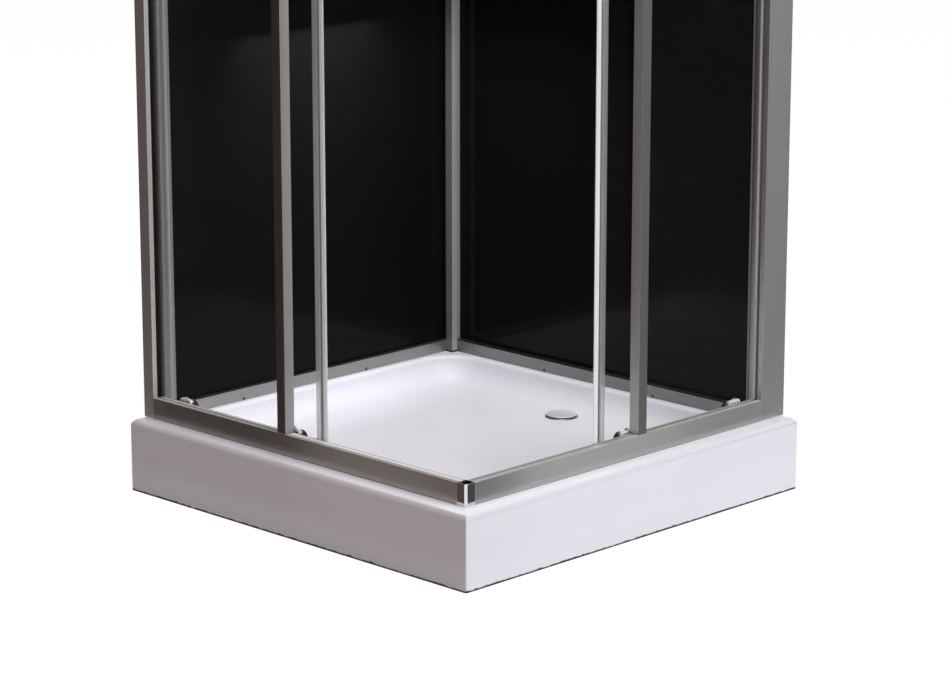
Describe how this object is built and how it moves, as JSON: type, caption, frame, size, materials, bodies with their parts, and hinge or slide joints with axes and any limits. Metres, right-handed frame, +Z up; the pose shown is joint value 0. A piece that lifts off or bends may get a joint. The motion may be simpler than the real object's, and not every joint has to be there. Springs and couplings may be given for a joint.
{
  "type": "shower cabin",
  "caption": "Square corner-entry shower cabin: low tray, satin aluminium frame, black glass walls and sliding clear glass doors that meet at a corner, with a lever mixer and overhead shower.",
  "frame": {"origin": "on the floor, under the middle of the square tray", "axes": "+Z up; the front door side faces -Y and the side door side faces +X, and the two doors meet at the (+X, -Y) corner; the glass walls stand on the -X and +Y sides"},
  "size_m": [0.9, 0.9, 2.05],
  "materials": {
    "acrylic": "gloss",
    "satin_aluminium": "satin",
    "chrome": "polished",
    "black_glass": "gloss",
    "clear_glass": "gloss",
    "rubber": "matte",
    "galvanised": "satin",
    "light_plastic": "matte",
    "dark_plastic": "matte"
  },
  "bodies": {
    "cabin": {"tray": "acrylic", "tray_frame": "galvanised", "tray_feet": "rubber", "waste_flange": "chrome", "waste_seal": "rubber", "waste_trap": "light_plastic", "left_post": "satin_aluminium", "right_post": "satin_aluminium", "rear_post": "satin_aluminium", "left_wall_rail": "satin_aluminium", "back_wall_rail": "satin_aluminium", "left_wall_top_rail": "satin_aluminium", "back_wall_top_rail": "satin_aluminium", "left_wall_glass": "black_glass", "back_wall_glass": "black_glass", "front_bottom_rail": "satin_aluminium", "side_bottom_rail": "satin_aluminium", "front_top_rail": "satin_aluminium", "side_top_rail": "satin_aluminium", "bottom_corner": "chrome", "top_corner": "chrome", "front_fixed_glass": "clear_glass", "side_fixed_glass": "clear_glass", "front_jamb": "satin_aluminium", "side_jamb": "satin_aluminium", "glazing_seals": "rubber", "jamb_brushes": "rubber", "door_stops": "rubber", "frame_screws": "chrome", "mixer_body": "chrome", "riser_pipe": "chrome"},
    "waste_cap": {"waste_cap": "chrome"},
    "front_door": {"front_door_glass": "clear_glass", "front_door_edge": "chrome", "front_magnet_strip": "light_plastic", "front_handle": "chrome", "front_hangers": "chrome", "front_guides": "chrome"},
    "front_top_wheel_a": {"front_top_wheel_a": "dark_plastic"},
    "front_guide_arm_a": {"front_guide_arm_a": "chrome"},
    "front_guide_wheel_a": {"front_guide_wheel_a": "dark_plastic"},
    "front_top_wheel_b": {"front_top_wheel_b": "dark_plastic"},
    "front_guide_arm_b": {"front_guide_arm_b": "chrome"},
    "front_guide_wheel_b": {"front_guide_wheel_b": "dark_plastic"},
    "side_door": {"side_door_glass": "clear_glass", "side_door_edge": "chrome", "side_magnet_strip": "light_plastic", "side_handle": "chrome", "side_hangers": "chrome", "side_guides": "chrome"},
    "side_top_wheel_a": {"side_top_wheel_a": "dark_plastic"},
    "side_guide_arm_a": {"side_guide_arm_a": "chrome"},
    "side_guide_wheel_a": {"side_guide_wheel_a": "dark_plastic"},
    "side_top_wheel_b": {"side_top_wheel_b": "dark_plastic"},
    "side_guide_arm_b": {"side_guide_arm_b": "chrome"},
    "side_guide_wheel_b": {"side_guide_wheel_b": "dark_plastic"},
    "mixer_cartridge": {"mixer_cartridge": "chrome"},
    "mixer_lever": {"mixer_lever": "chrome"},
    "shower_head": {"shower_head": "chrome"}
  },
  "joints": [
    {"name": "waste_cap_lift", "type": "slide", "parent": "cabin", "child": "waste_cap", "axis": [0, 0, 1], "range_m": [0, 0.05]},
    {"name": "front_door_slide", "type": "slide", "parent": "cabin", "child": "front_door", "axis": [1, 0, 0], "range_m": [0, 0.35]},
    {"name": "front_top_wheel_a_turn", "type": "hinge", "parent": "front_door", "child": "front_top_wheel_a", "pos_m": [-0.042, -0.379, 2.0313], "axis": [0, 1, 0], "range_deg": [0, 2230]},
    {"name": "front_guide_arm_a_swing", "type": "hinge", "parent": "front_door", "child": "front_guide_arm_a", "pos_m": [-0.058, -0.3835, 0.182], "axis": [0, -1, 0], "range_deg": [0, 12], "stiffness_Nm_per_rad": 0.02, "springref_deg": -11.46},
    {"name": "front_guide_wheel_a_turn", "type": "hinge", "parent": "front_guide_arm_a", "child": "front_guide_wheel_a", "pos_m": [-0.042, -0.379, 0.1703], "axis": [0, 1, 0], "range_deg": [0, 1825]},
    {"name": "front_top_wheel_b_turn", "type": "hinge", "parent": "front_door", "child": "front_top_wheel_b", "pos_m": [-0.346, -0.379, 2.0313], "axis": [0, 1, 0], "range_deg": [0, 2230]},
    {"name": "front_guide_arm_b_swing", "type": "hinge", "parent": "front_door", "child": "front_guide_arm_b", "pos_m": [-0.362, -0.3835, 0.182], "axis": [0, -1, 0], "range_deg": [0, 12], "stiffness_Nm_per_rad": 0.02, "springref_deg": -11.46},
    {"name": "front_guide_wheel_b_turn", "type": "hinge", "parent": "front_guide_arm_b", "child": "front_guide_wheel_b", "pos_m": [-0.346, -0.379, 0.1703], "axis": [0, 1, 0], "range_deg": [0, 1825]},
    {"name": "side_door_slide", "type": "slide", "parent": "cabin", "child": "side_door", "axis": [0, -1, 0], "range_m": [0, 0.326]},
    {"name": "side_top_wheel_a_turn", "type": "hinge", "parent": "side_door", "child": "side_top_wheel_a", "pos_m": [0.379, 0.018, 2.0313], "axis": [1, 0, 0], "range_deg": [0, 2077]},
    {"name": "side_guide_arm_a_swing", "type": "hinge", "parent": "side_door", "child": "side_guide_arm_a", "pos_m": [0.3835, 0.034, 0.182], "axis": [-1, 0, 0], "range_deg": [0, 12], "stiffness_Nm_per_rad": 0.02, "springref_deg": -11.46},
    {"name": "side_guide_wheel_a_turn", "type": "hinge", "parent": "side_guide_arm_a", "child": "side_guide_wheel_a", "pos_m": [0.379, 0.018, 0.1703], "axis": [1, 0, 0], "range_deg": [0, 1700]},
    {"name": "side_top_wheel_b_turn", "type": "hinge", "parent": "side_door", "child": "side_top_wheel_b", "pos_m": [0.379, 0.322, 2.0313], "axis": [1, 0, 0], "range_deg": [0, 2077]},
    {"name": "side_guide_arm_b_swing", "type": "hinge", "parent": "side_door", "child": "side_guide_arm_b", "pos_m": [0.3835, 0.338, 0.182], "axis": [-1, 0, 0], "range_deg": [0, 12], "stiffness_Nm_per_rad": 0.02, "springref_deg": -11.46},
    {"name": "side_guide_wheel_b_turn", "type": "hinge", "parent": "side_guide_arm_b", "child": "side_guide_wheel_b", "pos_m": [0.379, 0.322, 0.1703], "axis": [1, 0, 0], "range_deg": [0, 1700]},
    {"name": "mixer_swivel", "type": "hinge", "parent": "cabin", "child": "mixer_cartridge", "pos_m": [0.04, 0.296, 1.12], "axis": [0, 1, 0], "range_deg": [-45, 45]},
    {"name": "lever_lift", "type": "hinge", "parent": "mixer_cartridge", "child": "mixer_lever", "pos_m": [0.04, 0.284, 1.12], "axis": [-1, 0, 0], "range_deg": [0, 25]},
    {"name": "head_tilt", "type": "hinge", "parent": "cabin", "child": "shower_head", "pos_m": [0.04, 0.024, 1.905], "axis": [1, 0, 0], "range_deg": [-15, 15]}
  ],
  "couplings": [
    {"joint": "front_top_wheel_a_turn", "follows": "front_door_slide", "rad_per_m": 111.11},
    {"joint": "front_guide_wheel_a_turn", "follows": "front_door_slide", "rad_per_m": 90.909},
    {"joint": "front_top_wheel_b_turn", "follows": "front_door_slide", "rad_per_m": 111.11},
    {"joint": "front_guide_wheel_b_turn", "follows": "front_door_slide", "rad_per_m": 90.909},
    {"joint": "side_top_wheel_a_turn", "follows": "side_door_slide", "rad_per_m": 111.11},
    {"joint": "side_guide_wheel_a_turn", "follows": "side_door_slide", "rad_per_m": 90.909},
    {"joint": "side_top_wheel_b_turn", "follows": "side_door_slide", "rad_per_m": 111.11},
    {"joint": "side_guide_wheel_b_turn", "follows": "side_door_slide", "rad_per_m": 90.909}
  ]
}
